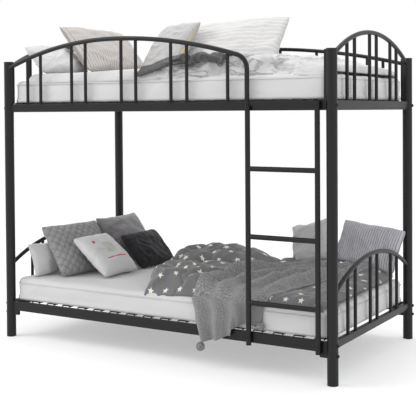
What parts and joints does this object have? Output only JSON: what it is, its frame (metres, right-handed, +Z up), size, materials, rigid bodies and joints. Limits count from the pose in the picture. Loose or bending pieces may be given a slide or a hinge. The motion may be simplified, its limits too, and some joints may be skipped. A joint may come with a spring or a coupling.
{
  "type": "bunk bed",
  "caption": "Metal bunk bed with round posts, arched ends and guards, a bolted front ladder, slatted decks, and both beds made up with mattresses and bedding.",
  "frame": {"origin": "on the floor, below the middle of the whole outline, throw included", "axes": "+X along the bed towards the ladder end, +Y from the ladder side to the back, +Z up"},
  "size_m": [1.9868, 1.0904, 1.766],
  "materials": {
    "frame_paint": "satin charcoal powder coat",
    "black_plastic": "matte moulded",
    "black_bolts": "black oxide, satin",
    "mattress_cloth": "white woven ticking",
    "white_cloth": "white cotton",
    "grey_star_cloth": "grey cotton with a printed star pattern",
    "grey_knit": "grey chunky knit",
    "dark_knit": "dark grey knit",
    "beige_cloth": "beige striped cotton",
    "linen_cloth": "pale linen, ribbed weave",
    "grey_quilted_cloth": "grey quilted cotton",
    "grey_velvet": "grey velvet",
    "charcoal_cloth": "charcoal cotton",
    "lined_cloth": "grey cotton with thin lines"
  },
  "bodies": {
    "frame": {"post_front_left": "frame_paint", "post_front_right": "frame_paint", "post_back_left": "frame_paint", "post_back_right": "frame_paint", "post_top_caps": "black_plastic", "post_foot_caps": "black_plastic", "guard_mounting_strips": "frame_paint", "end_rail_upper_left": "frame_paint", "end_arch_upper_left": "frame_paint", "end_balusters_upper_left": "frame_paint", "end_rail_upper_right": "frame_paint", "end_arch_upper_right": "frame_paint", "end_balusters_upper_right": "frame_paint", "side_rail_upper_front": "frame_paint", "side_rail_upper_back": "frame_paint", "slats_upper": "frame_paint", "rail_brackets_upper": "frame_paint", "end_rail_lower_left": "frame_paint", "end_arch_lower_left": "frame_paint", "end_balusters_lower_left": "frame_paint", "end_rail_lower_right": "frame_paint", "end_arch_lower_right": "frame_paint", "end_balusters_lower_right": "frame_paint", "side_rail_lower_front": "frame_paint", "side_rail_lower_back": "frame_paint", "slats_lower": "frame_paint", "rail_brackets_lower": "frame_paint", "front_guard_tube": "frame_paint", "front_guard_balusters": "frame_paint", "back_guard_tube": "frame_paint", "back_guard_balusters": "frame_paint", "ladder_stile_left": "frame_paint", "ladder_stile_right": "frame_paint", "ladder_rung_1": "frame_paint", "ladder_rung_2": "frame_paint", "ladder_rung_3": "frame_paint", "ladder_end_caps": "black_plastic", "frame_bolts": "black_bolts", "frame_nuts": "black_bolts", "ladder_bolts": "black_bolts", "ladder_nuts": "black_bolts"},
    "upper_bed": {"mattress_upper": "mattress_cloth", "duvet_upper": "white_cloth", "scarf_upper": "dark_knit", "pillow_small_upper": "white_cloth", "pillow_beige_upper": "beige_cloth", "cushion_piped_upper": "linen_cloth", "pillow_linen_upper": "linen_cloth"},
    "lower_bed": {"mattress_lower": "mattress_cloth", "duvet_lower": "grey_star_cloth", "throw_lower": "grey_knit", "throw_pompoms": "grey_knit", "pillow_white_lower": "white_cloth", "cushion_quilted_lower": "grey_quilted_cloth", "cushion_velvet_lower": "grey_velvet", "cushion_charcoal_lower": "charcoal_cloth", "cushion_print_lower": "white_cloth", "cushion_plush_lower": "linen_cloth", "pillow_lined_lower": "lined_cloth"}
  },
  "joints": [
    {"name": "upper_mattress_lift", "type": "slide", "parent": "frame", "child": "upper_bed", "axis": [0, 0, 1], "range_m": [0, 0.3]},
    {"name": "lower_mattress_lift", "type": "slide", "parent": "frame", "child": "lower_bed", "axis": [0, 0, 1], "range_m": [0, 0.07]}
  ]
}
